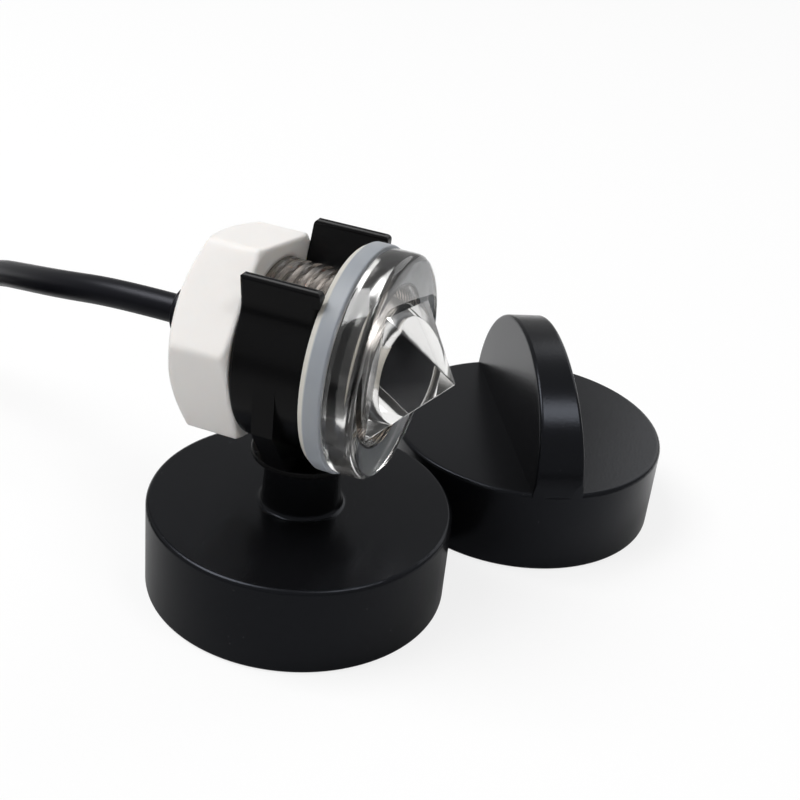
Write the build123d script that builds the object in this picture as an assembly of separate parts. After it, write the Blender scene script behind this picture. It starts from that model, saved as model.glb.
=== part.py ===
from build123d import *
import math
import os

# Optical liquid-level sensor in a two-part magnetic holder. Millimetres, +Z up.
# Origin: centre of the inner holder's underside. +X: the sensor's axis, towards its prism.

# Magnetic holders
puck_radius = 20.0
puck_height = 12.4
puck_top_round = 0.6
puck_foot_round = 0.5
cover_radius = 18.3
cover_thickness = 1.6
magnet_radius = 17.0
magnet_thickness = 6.0
cavity_roof = 10.2
glue_gap = 0.1
pair_distance = 41.0
pair_angle = 60.2

# Grip fin on the outer holder
fin_angle = -60.6
fin_half_length = 19.9
fin_height = 15.0
fin_base_thickness = 7.2
fin_top_thickness = 5.2
fin_edge_round = 0.5

# Stem and clip
stem_base_radius = 5.2
stem_top_radius = 4.9
stem_top = 19.6
stem_root_fillet = 0.8
spigot_radius = 3.0
spigot_bottom = 14.7
screw_radius = 1.4
screw_hole_radius = 1.6
screw_head_radius = 2.7
screw_head_height = 1.9
screw_tip = 19.3
foot_radius = 6.8
foot_thickness = 1.0
axis_height = 34.9
clip_back = -5.0
clip_front = 4.5
lip_front = 5.1
clip_outer_radius = 12.5
clip_running_gap = 0.06
mouth_angle = 41.0
lip_root_angle = 36.9
lip_root_fillet = 4.0
lip_throat_fillet = 1.0
lip_corner_round = 0.8
clip_edge_round = 0.5
lip_tip_inner = (9.4, 11.8)
lip_tip_outer = (10.65, 11.8)
lip_gasket_gap = 0.3
web_thickness = 2.8
web_shoulder_drop = 6.7
web_heel = (7.9, -13.5)
web_foot_half_width = 6.5

# Sensor body, M20 x 1.5
thread_radius = 10.0
shank_end = -13.2
shank_bore_radius = 8.0
bore_end = 8.8
nose_bore_radius = 6.1
nose_bore_end = 11.1
flange_radius = 14.0
flange_back = 7.5
flange_front = 11.3
flange_front_round = 0.9
flange_back_round = 0.4
prism_side = 15.0
prism_corner_angle = 32.0

# Gasket and nut
gasket_radius = 14.3
gasket_back = 4.6
gasket_bevel = (0.9, 0.6)
gasket_round = 0.25
nut_across_flats = 24.0
nut_back = -13.4
nut_front = -5.1
nut_corner_angle = 50.0
nut_chamfer_angle = 30.0
nut_running_gap = 0.06
nut_edge_round = 0.3

# Optics and electronics inside the body
holder_radius = 7.85
holder_back = 4.7
nose_window = 0.8
lens_radius = 1.5
lens_spacing = 7.4
board_radius = 7.6
board_front = 2.7
board_thickness = 1.2
core_radius = 0.6
core_ring_radius = 1.15
jacket_end = -8.5
gland_plug_front = -10.0
boss_radius = 3.5
boss_end = -18.4

# Cable, plug and tie
cable_radius = 1.9
coil_centre = (-88.0, -10.5)
coil_pitch = 4.35
coil_outer_radius = 25.2
coil_layers = 4
quarters_per_layer = 11
coil_quarters = 43.36
coil_steps = 43
coil_start_angle = 104.4
tie_thickness = 0.6
tie_width = 7.0
tie_gap = 0.15
tie_angle = 300.0
plug_grip_radius = 4.0
plug_grip_length = 15.0
plug_boot_length = 9.0
tail_length = 18.0
jack_radius = 1.74

nose_face = nose_bore_end - glue_gap
coil_low = cable_radius + tie_thickness + tie_gap
coil_top = coil_low + (coil_layers - 1) * coil_pitch

# The lead's free route, one point per bend; its last two points come from the coil
lead_route = [
    (boss_end, 0, axis_height),
    (-27.5, 0, axis_height),
    (-37.5, 2.1, 32.8),
    (-46.5, 6.4, 30.0),
    (-55.2, 11.7, 26.7),
    (-63.8, 15.9, 22.0),
    (-73.3, 18.0, 17.7),
]
lead_last_run = 7.0


def polar(radius, degrees):
    angle = math.radians(degrees)
    return (radius * math.cos(angle), radius * math.sin(angle))


def along_x(sketch, back, front):
    """A (y, z) outline round the sensor's axis, made solid between two stations on X."""
    plane = Plane(origin=(back, 0, axis_height), x_dir=(0, 1, 0), z_dir=(1, 0, 0))
    return extrude(plane * sketch, amount=front - back)


def turned_about_sensor(points):
    """A closed (station, radius) outline turned round the sensor's axis."""
    outline = make_face(Polyline(*points, close=True))
    plane = Plane(origin=(0, 0, axis_height), x_dir=(1, 0, 0), z_dir=(0, -1, 0))
    return revolve(plane * outline, axis=Axis((0, 0, axis_height), (1, 0, 0)))


def turned_about_z(points):
    outline = make_face(Polyline(*points, close=True))
    return revolve(Plane.XZ * outline, axis=Axis.Z)


def edges_at(solid, radius, height):
    """Circular edges of one radius round Z at one height."""
    rims = solid.edges().filter_by(GeomType.CIRCLE)
    return [e for e in rims if abs(e.radius - radius) < 0.01 and abs(e.center().Z - height) < 0.01]


def write(solid, name):
    export_step(solid, "parts/" + name + ".step")


# ---------------------------------------------------------------- holders

def casing_profile(neck):
    """Half section of a holder's moulded cup, open below; neck is what the roof carries."""
    seat = cover_radius + glue_gap
    seat_top = cover_thickness + glue_gap
    wall = magnet_radius + 2 * glue_gap
    rim = [(puck_radius, puck_height), (puck_radius, 0), (seat, 0), (seat, seat_top)]
    return neck + rim + [(wall, seat_top), (wall, cavity_roof)]


def rounded_cup(cup):
    cup = fillet(edges_at(cup, puck_radius, puck_height), puck_top_round)
    return fillet(edges_at(cup, puck_radius, 0), puck_foot_round)


def inner_casing():
    bore = spigot_radius + 0.05
    bore_floor = spigot_bottom - glue_gap
    neck = [
        (screw_hole_radius, cavity_roof),
        (screw_hole_radius, bore_floor),
        (bore, bore_floor),
        (bore, stem_top),
        (stem_top_radius, stem_top),
        (stem_base_radius, puck_height),
    ]
    cup = turned_about_z(casing_profile(neck))
    cup = fillet(edges_at(cup, stem_base_radius, puck_height), stem_root_fillet)
    return rounded_cup(cup)


def grip_fin():
    """A half-elliptical slab across the holder, thinner towards its crown."""
    sunk = puck_top_round
    arch = Ellipse(fin_half_length, fin_height)
    arch &= Pos(0, fin_height / 2) * Rectangle(2 * fin_half_length, fin_height)
    arch += Pos(0, -sunk / 2) * Rectangle(2 * fin_half_length, sunk)
    slab = extrude(Plane.XZ * arch, amount=fin_base_thickness, both=True)
    base, crown = fin_base_thickness / 2, fin_top_thickness / 2
    sides = [(base, -sunk), (base, 0), (crown, fin_height), (crown, fin_height + 1)]
    sides += [(-y, z) for y, z in reversed(sides)]
    wedge = extrude(Plane.YZ * make_face(Polyline(*sides, close=True)), amount=puck_radius, both=True)
    fin = slab & wedge
    crown_edges = [e for e in fin.edges() if e.center().Z > fin_height * 0.4 and e.length > puck_radius]
    fin = fillet(crown_edges, fin_edge_round)
    return fin & Pos(0, 0, fin_height / 2) * Cylinder(puck_radius, 2 * fin_height)


def outer_casing():
    cup = rounded_cup(turned_about_z(casing_profile([(0, cavity_roof), (0, puck_height)])))
    return cup + Pos(0, 0, puck_height) * Rot(0, 0, fin_angle) * grip_fin()


def base_cover():
    disc = Pos(0, 0, cover_thickness / 2) * Cylinder(cover_radius, cover_thickness)
    return chamfer(edges_at(disc, cover_radius, 0), 0.3)


def holder_magnet():
    low = cover_thickness + 3 * glue_gap
    disc = Pos(0, 0, low + magnet_thickness / 2) * Cylinder(magnet_radius, magnet_thickness)
    return chamfer(disc.edges().filter_by(GeomType.CIRCLE), 0.4)


def clip_screw():
    """A pan-head screw, driven up through the stem from inside the cup."""
    under_head = cavity_roof - 0.05
    head_low = under_head - screw_head_height
    points = [(0, head_low), (screw_head_radius, head_low), (screw_head_radius, under_head)]
    points += [(screw_radius, under_head), (screw_radius, screw_tip - 1.6), (0, screw_tip)]
    screw = turned_about_z(points)
    screw = fillet(edges_at(screw, screw_head_radius, head_low), 0.8)
    slot = Pos(0, 0, head_low + 0.4) * Box(3.2, 0.7, 0.9)
    return screw - slot - Rot(0, 0, 90) * slot


# ---------------------------------------------------------------- clip

def clip_section():
    """The C of the clip in (y, z) about the sensor's axis, with its two flared lips."""
    bore = thread_radius + clip_running_gap
    throat = polar(bore, mouth_angle)
    root = polar(clip_outer_radius, lip_root_angle)
    tip_in, tip_out = lip_tip_inner, lip_tip_outer
    crown = ((tip_in[0] + tip_out[0]) / 2, tip_in[1] + (tip_out[0] - tip_in[0]) / 2)
    with BuildSketch() as section:
        with BuildLine():
            ThreePointArc((-root[0], root[1]), (0, -clip_outer_radius), root)
            ThreePointArc((-throat[0], throat[1]), (0, -bore), throat)
            for side in (1, -1):
                Line((side * root[0], root[1]), (side * tip_out[0], tip_out[1]))
                ThreePointArc(
                    (side * tip_out[0], tip_out[1]),
                    (side * crown[0], crown[1]),
                    (side * tip_in[0], tip_in[1]),
                )
                Line((side * tip_in[0], tip_in[1]), (side * throat[0], throat[1]))
        make_face()
    outline = section.sketch
    outline = fillet(corners_at(outline, root), lip_root_fillet)
    return fillet(corners_at(outline, throat), lip_throat_fillet)


def corners_at(outline, place):
    """The corner at one place of an outline and its mirror image across the middle."""
    return [v for v in outline.vertices() if math.dist((abs(v.X), v.Y), place) < 0.01]


def lip_trim():
    """Seen from the side, the lips' upper corners are round; below them the clip runs straight."""
    height = 2 * axis_height
    plate = Rectangle(lip_front - clip_back, height)
    plate = fillet(plate.vertices().group_by(Axis.Y)[-1], lip_corner_round)
    crown = lip_tip_inner[1] + (lip_tip_outer[0] - lip_tip_inner[0]) / 2
    middle = ((clip_back + lip_front) / 2, axis_height + crown - height / 2)
    return extrude(Plane.XZ * Pos(*middle) * plate, amount=2 * clip_outer_radius, both=True)


def clip_web():
    """The web in (y, z): straight down from the ring's widest points, then in to the foot."""
    foot = (web_foot_half_width, stem_top + foot_thickness - axis_height)
    side = [(clip_outer_radius, 0), (clip_outer_radius, -web_shoulder_drop), web_heel, foot]
    mirrored = [(-y, z) for y, z in reversed(side)]
    return make_face(Polyline(*side, *mirrored, close=True)) - Circle(thread_radius + clip_running_gap)


def sensor_clip():
    ring = along_x(clip_section(), clip_back, clip_front)
    outer_rims = [
        e for e in ring.edges().filter_by(GeomType.CIRCLE)
        if abs(e.radius - clip_outer_radius) < 0.01
    ]
    ring = fillet(outer_rims, clip_edge_round)
    # the lips' tips stand forward over the gasket's edge
    tips = clip_section() - Circle(gasket_radius + lip_gasket_gap)
    ring = (ring + along_x(tips, clip_front - clip_edge_round, lip_front)) & lip_trim()
    middle = (clip_back + clip_front) / 2
    web = along_x(clip_web(), middle - web_thickness / 2, middle + web_thickness / 2)
    foot = Pos(0, 0, stem_top + foot_thickness / 2) * Cylinder(foot_radius, foot_thickness)
    foot = fillet(foot.edges().filter_by(GeomType.CIRCLE), 0.3)
    spigot_length = stem_top - spigot_bottom
    spigot = Pos(0, 0, stem_top - spigot_length / 2) * Cylinder(spigot_radius, spigot_length)
    pilot_depth = screw_tip - spigot_bottom + 0.2
    pilot = Pos(0, 0, spigot_bottom + pilot_depth / 2) * Cylinder(screw_radius + 0.05, pilot_depth)
    return ring + web + foot + spigot - pilot


# ---------------------------------------------------------------- sensor

def prism_tip():
    """Two 45-degree roofs crossed: a square pyramid half as high as its side."""
    half = prism_side / 2
    gable = make_face(Polyline((-half, 0), (half, 0), (0, half), close=True))
    roof = extrude(Plane.XZ * gable, amount=half, both=True)
    tip = roof & Rot(0, 0, 90) * roof
    facet = polar(1, prism_corner_angle - 45)
    seat = Plane(origin=(flange_front, 0, axis_height), x_dir=(0, *facet), z_dir=(1, 0, 0))
    return seat.location * tip


def rims_about_sensor(solid, radius, station):
    rims = solid.edges().filter_by(GeomType.CIRCLE)
    return [e for e in rims if abs(e.radius - radius) < 0.01 and abs(e.center().X - station) < 0.01]


def sensor_body():
    points = [
        (flange_front, 0),
        (flange_front, flange_radius),
        (flange_back, flange_radius),
        (flange_back, thread_radius),
        (shank_end, thread_radius),
        (shank_end, shank_bore_radius),
        (bore_end, shank_bore_radius),
        (bore_end, nose_bore_radius),
        (nose_bore_end, nose_bore_radius),
        (nose_bore_end, 0),
    ]
    body = turned_about_sensor(points)
    body = fillet(rims_about_sensor(body, flange_radius, flange_front), flange_front_round)
    body = fillet(rims_about_sensor(body, flange_radius, flange_back), flange_back_round)
    body = chamfer(rims_about_sensor(body, thread_radius, shank_end), 0.8)
    body += prism_tip()
    return body


def flange_gasket():
    bore = thread_radius + 0.2
    face = flange_back - 0.05
    bevel_length, bevel_depth = gasket_bevel
    points = [
        (gasket_back, bore),
        (gasket_back, gasket_radius - bevel_depth),
        (gasket_back + bevel_length, gasket_radius),
        (face, gasket_radius),
        (face, bore),
    ]
    ring = turned_about_sensor(points)
    outer_rims = rims_about_sensor(ring, gasket_radius - bevel_depth, gasket_back)
    outer_rims += rims_about_sensor(ring, gasket_radius, gasket_back + bevel_length)
    outer_rims += rims_about_sensor(ring, gasket_radius, face)
    return fillet(outer_rims, gasket_round)


def hex_nut():
    hexagon = RegularPolygon(nut_across_flats / 2, 6, major_radius=False)
    hexagon = fillet(hexagon.vertices(), 1.0)
    hexagon = Rot(0, 0, nut_corner_angle) * hexagon
    nut = along_x(hexagon - Circle(thread_radius + nut_running_gap), nut_back, nut_front)
    corner = nut_across_flats / 2 / math.cos(math.radians(30))
    crown = nut_across_flats / 2 - 0.5
    face = nut_across_flats / 2 + 1.0
    slope = math.tan(math.radians(nut_chamfer_angle))
    envelope = turned_about_sensor([
        (nut_back, 0),
        (nut_back, crown),
        (nut_back + (corner - crown) * slope, corner),
        (nut_front - (corner - face) * slope, corner),
        (nut_front, face),
        (nut_front, 0),
    ])
    nut &= envelope
    flats = nut.faces().filter_by(GeomType.PLANE).filter_by(Axis.X, reverse=True)
    return fillet(flats.edges(), nut_edge_round)


def lens_places():
    """The two lenses sit under opposite facets of the prism."""
    facet = prism_corner_angle - 45
    return [polar(lens_spacing / 2, facet), polar(lens_spacing / 2, facet + 180)]


def optics_holder():
    """Black plastic that infrared passes: its nose is closed over the two lenses."""
    block = along_x(Circle(holder_radius), holder_back, bore_end - glue_gap)
    block = chamfer(rims_about_sensor(block, holder_radius, holder_back), 0.5)
    nose = Circle(nose_bore_radius - glue_gap)
    block += along_x(nose, bore_end - glue_gap, nose_face)
    for place in lens_places():
        block -= along_x(Pos(*place) * Circle(lens_radius + 0.1), holder_back, nose_face - nose_window)
    return block


def lead_places(place):
    """Two leads straddle each lens, 2.54 mm apart, square to the line between the lenses."""
    side = polar(1.27, prism_corner_angle + 45)
    return [(place[0] + k * side[0], place[1] + k * side[1]) for k in (1, -1)]


def lens_package(place):
    """A 3 mm radial package: base flange, barrel, domed lens and two leads."""
    board_face = board_front + board_thickness
    dome_station = nose_face - nose_window - glue_gap - lens_radius
    package = along_x(Pos(*place) * Circle(lens_radius + 0.3), board_face + 0.05, holder_back - 0.05)
    package += along_x(Pos(*place) * Circle(lens_radius), holder_back - 0.1, dome_station)
    package += Pos(dome_station, place[0], axis_height + place[1]) * Sphere(lens_radius)
    for lead in lead_places(place):
        package += along_x(Pos(*lead) * Circle(0.25), board_front - 0.7, board_face + 0.3)
    return package


def circuit_board():
    outline = Circle(board_radius)
    for place in lens_places():
        for lead in lead_places(place):
            outline -= Pos(*lead) * Circle(0.4)
    return along_x(outline, board_front, board_front + board_thickness)


def board_block(place, size, height):
    """A surface-mounted package on the board's back."""
    return along_x(Pos(*place) * Rectangle(*size), board_front - height, board_front)


def core_wire(place):
    return along_x(Pos(*place) * Circle(core_radius), jacket_end, board_front)


def jacket_stub():
    return along_x(Circle(cable_radius), boss_end, jacket_end)


def cable_gland():
    """The moulded plug that closes the shank, with the boss that the cable leaves by."""
    bore = cable_radius + 0.03
    plug = shank_bore_radius - 0.05
    points = [
        (gland_plug_front, bore),
        (gland_plug_front, plug),
        (shank_end, plug),
        (shank_end, boss_radius),
        (boss_end, boss_radius - 0.3),
        (boss_end, bore),
    ]
    gland = turned_about_sensor(points)
    return fillet(rims_about_sensor(gland, boss_radius - 0.3, boss_end), 0.6)


# ---------------------------------------------------------------- cable

def coil_state(quarters):
    """Centre line of the coil: its place and its unit heading, some quarter turns in.

    The radius falls and rises at a steady rate, one layer each way. In the half turn where
    it reverses, the line comes down to the next layer.
    """
    rate = coil_pitch / (2 * math.pi)
    span = quarters_per_layer * coil_pitch / 4
    layer = int(quarters / quarters_per_layer)
    share = quarters / quarters_per_layer - layer
    inward = layer % 2 == 0
    radius = coil_outer_radius - span * (share if inward else 1 - share)
    slope = -rate if inward else rate
    height = coil_top - layer * coil_pitch
    fall = 0.0
    reversal = round(quarters / quarters_per_layer)
    past = (quarters - reversal * quarters_per_layer) * math.pi / 2
    if 0 < reversal < coil_layers and abs(past) < math.pi / 2:
        way = 1 if reversal % 2 else -1
        edge = coil_outer_radius - (span if way > 0 else 0)
        radius = edge + way * rate * (past ** 2 / math.pi + math.pi / 4)
        slope = way * rate * 2 * past / math.pi
        height = coil_top - (reversal - 1) * coil_pitch - coil_pitch * (1 + math.sin(past)) / 2
        fall = coil_pitch * math.cos(past) / 2
    angle = math.radians(coil_start_angle) + quarters * math.pi / 2
    outward = Vector(math.cos(angle), math.sin(angle), 0)
    onward = Vector(-math.sin(angle), math.cos(angle), 0)
    place = Vector(*coil_centre, height) + outward * radius
    heading = (outward * slope + onward * radius - Vector(0, 0, fall)).normalized()
    return place, heading


def biarc(start, start_heading, end, end_heading):
    """Two arcs that share a tangent, between two places with given headings."""
    chord = end - start
    both = start_heading + end_heading
    spread = 2 * (1 - start_heading.dot(end_heading))
    along = chord.dot(both)
    reach = (math.sqrt(along ** 2 + spread * chord.dot(chord)) - along) / spread
    start_corner = start + start_heading * reach
    end_corner = end - end_heading * reach
    middle = (start_corner + end_corner) * 0.5
    first = Edge.make_tangent_arc(start, start_heading, middle)
    second = Edge.make_tangent_arc(middle, end_corner - start_corner, end)
    return [first, second]


def coil_ends():
    """Where the coil's straight ends meet the free cable, each with the cable's heading."""
    first, first_heading = coil_state(0)
    last, last_heading = coil_state(coil_quarters)
    straight = 2 * cable_radius
    return (first - first_heading * straight, first_heading), (last + last_heading * straight, last_heading)


def coil_path():
    (start, start_heading), (end, end_heading) = coil_ends()
    place, heading = coil_state(0)
    edges = [Edge.make_line(start, place)]
    for step in range(1, coil_steps + 1):
        next_place, next_heading = coil_state(step * coil_quarters / coil_steps)
        edges += biarc(place, heading, next_place, next_heading)
        place, heading = next_place, next_heading
    edges.append(Edge.make_line(place, end))
    return Wire(edges)


def sampled(path, spacing):
    count = int(path.length / spacing)
    return [tuple(path.position_at(i / count)) for i in range(count + 1)]


def least_gap(path):
    """Least clearance between stretches of the coil that lie more than a quarter turn apart."""
    spacing = 1.0
    points = sampled(path, spacing)
    skip = int(45 / spacing)
    pairs = (math.dist(one, other) for i, one in enumerate(points) for other in points[i + skip:])
    return min(pairs) - 2 * cable_radius


def tube(path, start, heading):
    return sweep(Plane(origin=start, z_dir=heading) * Circle(cable_radius), path=path)


def routed_tube(points, name):
    """Straight runs joined by tangent arcs; prints the bends and how the volume compares."""
    points = [Vector(*p) for p in points]
    radii = bend_radii(points)
    path = FilletPolyline(*points, radius=radii)
    solid = tube(path, points[0], points[1] - points[0])
    expected = math.pi * cable_radius ** 2 * path.length
    print(name, "radii", [round(r, 1) for r in radii], "length", round(path.length, 1))
    print(name, "volume over section times length", round(solid.volume / expected, 4))
    return solid


def bend_radii(points):
    """The largest tangent arc at each bend: 0.45 of the shorter run over the half-turn's tangent."""
    radii = []
    for before, here, after in zip(points, points[1:], points[2:]):
        into, out = here - before, after - here
        half_turn = math.radians(into.get_angle(out)) / 2
        radii.append(0.45 * min(into.length, out.length) / math.tan(half_turn))
    return radii


def cable_lead():
    (meet, heading), _ = coil_ends()
    return routed_tube(lead_route + [tuple(meet - heading * lead_last_run), tuple(meet)], "cable_lead")


def tail_points():
    """The tail leaves the bottom layer along the floor and rises to the plug's axis."""
    _, (start, heading) = coil_ends()
    step = tail_length / 3
    lift = Vector(0, 0, plug_grip_radius - coil_low)
    points = [start, start + heading * step, start + heading * 2 * step + lift]
    return [tuple(p) for p in points + [start + heading * tail_length + lift]]


def cable_tail():
    return routed_tube(tail_points(), "cable_tail")


def cable_coil():
    (start, heading), _ = coil_ends()
    path = coil_path()
    solid = tube(path, start, heading)
    expected = math.pi * cable_radius ** 2 * path.length
    print("cable_coil length", round(path.length, 1), "least gap", round(least_gap(path), 2))
    print("cable_coil volume over section times length", round(solid.volume / expected, 4))
    return solid


def cable_tie():
    """A flat strap closed round the bundle of turns."""
    half = tie_width / 2
    centre = Vector(*coil_centre, 0)
    towards = Vector(*polar(1, tie_angle), 0)
    across = Vector(0, 0, 1).cross(towards)
    inner, outer = math.inf, 0.0
    for point in sampled(coil_path(), 1.0):
        offset = Vector(*point) - centre
        if abs(offset.dot(across)) < half + 1 and offset.dot(towards) > 0:
            inner = min(inner, offset.dot(towards))
            outer = max(outer, offset.dot(towards))
    room = cable_radius + tie_gap
    depth = outer - inner + 2 * room
    height = coil_top - coil_low + 2 * room
    middle = centre + towards * (inner + outer) / 2 + Vector(0, 0, (coil_low + coil_top) / 2)
    section = RectangleRounded(depth + 2 * tie_thickness, height + 2 * tie_thickness, 1.6 + tie_thickness)
    section -= RectangleRounded(depth, height, 1.6)
    plane = Plane(origin=middle, x_dir=towards, z_dir=across)
    return extrude(plane * section, amount=half, both=True)


# ---------------------------------------------------------------- plug

def along_plug(points):
    """A (distance, radius) outline turned round the plug's axis; distance runs from the tail."""
    end = Vector(*tail_points()[-1])
    heading = coil_ends()[1][1]
    solid = revolve(Plane.XY * make_face(Polyline(*points, close=True)), axis=Axis.X)
    return Plane(origin=end, x_dir=heading, z_dir=(0, 0, 1)).location * solid


def plug_boot():
    """A tapered, ribbed strain relief that the cable's end seats against."""
    thick, thin, groove = 3.2, 2.4, 0.5
    points = [(0, 0), (0, thin)]
    ribs = 4
    pitch = plug_boot_length / (ribs + 0.5)
    for rib in range(ribs):
        start = 0.5 * pitch + rib * pitch
        radius = thin + (thick - thin) * (rib + 1) / ribs
        points += [(start, radius), (start + pitch * 0.55, radius)]
        points += [(start + pitch * 0.55, radius - groove), (start + pitch, radius - groove)]
    points[-1] = (plug_boot_length, thick - groove)
    points.append((plug_boot_length, 0))
    return along_plug(points)


def plug_grip():
    start = plug_boot_length
    end = start + plug_grip_length
    shoulder = plug_grip_radius - 0.7
    points = [
        (start, 0),
        (start, shoulder),
        (start + 1.5, plug_grip_radius),
        (end - 1.0, plug_grip_radius),
        (end, shoulder),
        (end, 0),
    ]
    return along_plug(points)


def jack_ring(start, length):
    return along_plug([(start, 0), (start, jack_radius), (start + length, jack_radius), (start + length, 0)])


def jack_tip(start, length):
    """The sprung-contact tip: a cone, a waist and a blunt nose."""
    points = [
        (start, 0),
        (start, jack_radius - 0.35),
        (start + 0.9, jack_radius - 0.55),
        (start + 1.6, jack_radius),
        (start + length - 0.5, 0.7),
        (start + length, 0),
    ]
    return along_plug(points)


# ---------------------------------------------------------------- write

os.makedirs("parts", exist_ok=True)
outer_place = Pos(*polar(pair_distance, pair_angle), 0)

write(inner_casing(), "inner_casing")
write(holder_magnet(), "inner_magnet")
write(base_cover(), "inner_base_cover")
write(clip_screw(), "clip_screw")
write(sensor_clip(), "sensor_clip")

write(outer_place * outer_casing(), "outer_casing")
write(outer_place * holder_magnet(), "outer_magnet")
write(outer_place * base_cover(), "outer_base_cover")

write(sensor_body(), "sensor_body")
write(flange_gasket(), "flange_gasket")
write(hex_nut(), "hex_nut")
write(optics_holder(), "optics_holder")
for name, place in zip(("infrared_emitter", "light_receiver"), lens_places()):
    write(lens_package(place), name)
write(circuit_board(), "circuit_board")
write(board_block((0, 4.6), (2.9, 1.3), 1.1), "output_transistor")
write(board_block((3.6, -3.4), (2.0, 1.25), 0.5), "pull_up_resistor")
write(board_block((-3.6, -3.4), (2.0, 1.25), 0.5), "emitter_resistor")
for name, angle in (("core_wire_supply", 90), ("core_wire_ground", 210), ("core_wire_signal", 330)):
    write(core_wire(polar(core_ring_radius, angle)), name)
write(jacket_stub(), "jacket_stub")
write(cable_gland(), "cable_gland")

write(cable_lead(), "cable_lead")
write(cable_coil(), "cable_coil")
write(cable_tail(), "cable_tail")
write(cable_tie(), "cable_tie")

write(plug_boot(), "plug_boot")
write(plug_grip(), "plug_grip")
jack_start = plug_boot_length + plug_grip_length
jack_pieces = (("sleeve", 5.6), ("insulator_sleeve", 0.8), ("ring", 2.4), ("insulator_tip", 0.8))
for name, length in jack_pieces:
    write(jack_ring(jack_start, length), "jack_" + name)
    jack_start += length
write(jack_tip(jack_start, 4.4), "jack_tip")
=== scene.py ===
import math

import bmesh
import bpy
from mathutils import Matrix, Vector


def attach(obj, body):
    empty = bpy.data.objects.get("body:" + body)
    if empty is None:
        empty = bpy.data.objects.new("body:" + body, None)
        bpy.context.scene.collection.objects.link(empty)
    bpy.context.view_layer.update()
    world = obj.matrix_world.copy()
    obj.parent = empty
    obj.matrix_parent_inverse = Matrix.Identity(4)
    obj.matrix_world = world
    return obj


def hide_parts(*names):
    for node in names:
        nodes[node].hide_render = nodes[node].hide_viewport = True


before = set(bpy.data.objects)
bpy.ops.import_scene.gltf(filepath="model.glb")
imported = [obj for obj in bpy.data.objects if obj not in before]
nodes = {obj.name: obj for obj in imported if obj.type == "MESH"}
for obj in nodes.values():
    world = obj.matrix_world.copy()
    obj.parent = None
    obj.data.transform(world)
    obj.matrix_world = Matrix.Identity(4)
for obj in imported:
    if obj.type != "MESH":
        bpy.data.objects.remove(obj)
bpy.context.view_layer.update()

mm = 0.001
sensorAxis = 34.9  # height of the sensor's axis, mm

print("frame loaded,", len(nodes), "nodes")


# camera: a long lens, a little above the object and turned slightly clockwise
cameraSetup = {
    "place": (56.265, -131.403, 106.861),  # mm
    "azimuth": 18.58,
    "elevation": 28.744,
    "roll": 6.387,
    "lens": 58.5,
    "sensor": 36.0,
    "nearest": 0.01,  # m
    "farthest": 10.0,
}


def makeCamera():
    azimuth = math.radians(cameraSetup["azimuth"])
    elevation = math.radians(cameraSetup["elevation"])
    roll = math.radians(cameraSetup["roll"])
    back = Vector((
        math.sin(azimuth) * math.cos(elevation),
        -math.cos(azimuth) * math.cos(elevation),
        math.sin(elevation),
    ))
    right = Vector((0, 0, 1)).cross(back).normalized()
    up = back.cross(right)
    turnedRight = math.cos(roll) * right + math.sin(roll) * up
    turnedUp = math.cos(roll) * up - math.sin(roll) * right
    data = bpy.data.cameras.new("camera")
    data.lens = cameraSetup["lens"]
    data.sensor_width = cameraSetup["sensor"]
    data.clip_start = cameraSetup["nearest"]
    data.clip_end = cameraSetup["farthest"]
    camera = bpy.data.objects.new("camera", data)
    bpy.context.scene.collection.objects.link(camera)
    turn = Matrix((turnedRight, turnedUp, back)).transposed()
    camera.matrix_world = Matrix.Translation(Vector(cameraSetup["place"]) * mm) @ turn.to_4x4()
    bpy.context.scene.camera = camera


makeCamera()


# the cable, in mm: the lead from the gland, the coil of what is put away, the tail to the plug
cable = {
    "radius": 1.9,
    "leadRoute": [
        (-18.4, 0.0, 34.9),
        (-27.5, 0.0, 34.9),
        (-37.5, 2.1, 32.8),
        (-46.5, 6.4, 30.0),
        (-55.2, 11.7, 26.7),
        (-63.8, 15.9, 22.0),
        (-73.3, 18.0, 17.7),
        (-83.884, 16.880, 15.7),
        (-90.614, 14.954, 15.7),
    ],
    "coilCentre": (-88.0, -10.5),
    "coilPitch": 4.35,  # from one turn to the next, and from one layer to the next
    "coilRadius": 25.2,
    "coilTop": 15.7,
    "layers": 4,
    "quartersPerLayer": 11,  # quarter turns, before the coil turns back and drops a layer
    "quarters": 43.36,  # quarter turns in all
    "startAngle": 104.4,
    "pointsPerTurn": 24,
    "tailRoute": [
        (-73.921, 10.041, 2.65),
        (-78.177, 14.270, 2.65),
        (-82.434, 18.499, 4.0),
        (-86.690, 22.729, 4.0),
    ],
    "length": 1.41,  # m
    "smoothness": 6,
}


def coilPoint(quarters):
    # the radius changes by one pitch a turn, and each reversal drops a layer in half a turn
    pitch, layerTurns = cable["coilPitch"], cable["quartersPerLayer"]
    rate = pitch / (2 * math.pi)
    span = layerTurns * pitch / 4
    layer = int(quarters / layerTurns)
    share = quarters / layerTurns - layer
    radius = cable["coilRadius"] - span * (share if layer % 2 == 0 else 1 - share)
    height = cable["coilTop"] - layer * pitch
    reversal = round(quarters / layerTurns)
    past = (quarters - reversal * layerTurns) * math.pi / 2
    if 0 < reversal < cable["layers"] and abs(past) < math.pi / 2:
        way = 1 if reversal % 2 else -1
        edge = cable["coilRadius"] - (span if way > 0 else 0)
        radius = edge + way * rate * (past ** 2 / math.pi + math.pi / 4)
        height = cable["coilTop"] - (reversal - 1) * pitch - pitch * (1 + math.sin(past)) / 2
    # a quadratic spline runs this much inside its control points
    radius /= (3 + math.cos(2 * math.pi / cable["pointsPerTurn"])) / 4
    angle = math.radians(cable["startAngle"]) + quarters * math.pi / 2
    x, y = cable["coilCentre"]
    return (x + radius * math.cos(angle), y + radius * math.sin(angle), height)


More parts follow.
